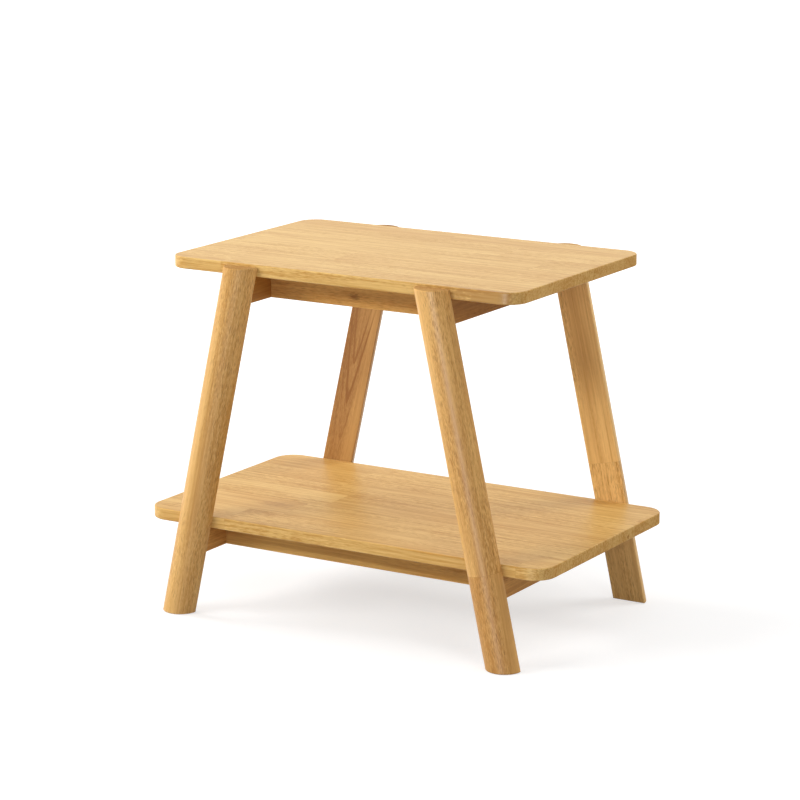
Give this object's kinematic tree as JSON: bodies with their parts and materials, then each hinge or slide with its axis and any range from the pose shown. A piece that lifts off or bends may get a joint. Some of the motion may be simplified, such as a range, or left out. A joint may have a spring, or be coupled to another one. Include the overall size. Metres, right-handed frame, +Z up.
{
  "type": "end table with shelf",
  "caption": "Wooden end table: a rectangular top and a longer lower shelf between splayed half-round legs, on dowelled rails.",
  "frame": {"origin": "on the floor under the middle of the table", "axes": "+X along the table's length to the right, +Y from the front to the back, +Z up"},
  "size_m": [0.58, 0.376, 0.46],
  "materials": {
    "top_board_wood": "satin clear lacquer",
    "shelf_board_wood": "satin clear lacquer",
    "leg_wood": "satin clear lacquer",
    "rail_wood": "satin clear lacquer",
    "dowel_wood": "raw",
    "screw_steel": "zinc plated"
  },
  "bodies": {
    "root": {"top_board": "top_board_wood", "shelf_board": "shelf_board_wood", "front_left_leg": "leg_wood", "front_right_leg": "leg_wood", "back_left_leg": "leg_wood", "back_right_leg": "leg_wood", "top_left_cross_rail": "rail_wood", "top_left_leg_dowels": "dowel_wood", "top_left_cross_rail_screws": "screw_steel", "top_right_cross_rail": "rail_wood", "top_right_leg_dowels": "dowel_wood", "top_right_cross_rail_screws": "screw_steel", "top_front_long_rail": "rail_wood", "top_front_rail_dowels": "dowel_wood", "top_front_long_rail_screws": "screw_steel", "top_back_long_rail": "rail_wood", "top_back_rail_dowels": "dowel_wood", "top_back_long_rail_screws": "screw_steel", "shelf_left_cross_rail": "rail_wood", "shelf_left_leg_dowels": "dowel_wood", "shelf_left_cross_rail_screws": "screw_steel", "shelf_right_cross_rail": "rail_wood", "shelf_right_leg_dowels": "dowel_wood", "shelf_right_cross_rail_screws": "screw_steel", "shelf_front_long_rail": "rail_wood", "shelf_front_rail_dowels": "dowel_wood", "shelf_front_long_rail_screws": "screw_steel", "shelf_back_long_rail": "rail_wood", "shelf_back_rail_dowels": "dowel_wood", "shelf_back_long_rail_screws": "screw_steel"}
  },
  "joints": []
}
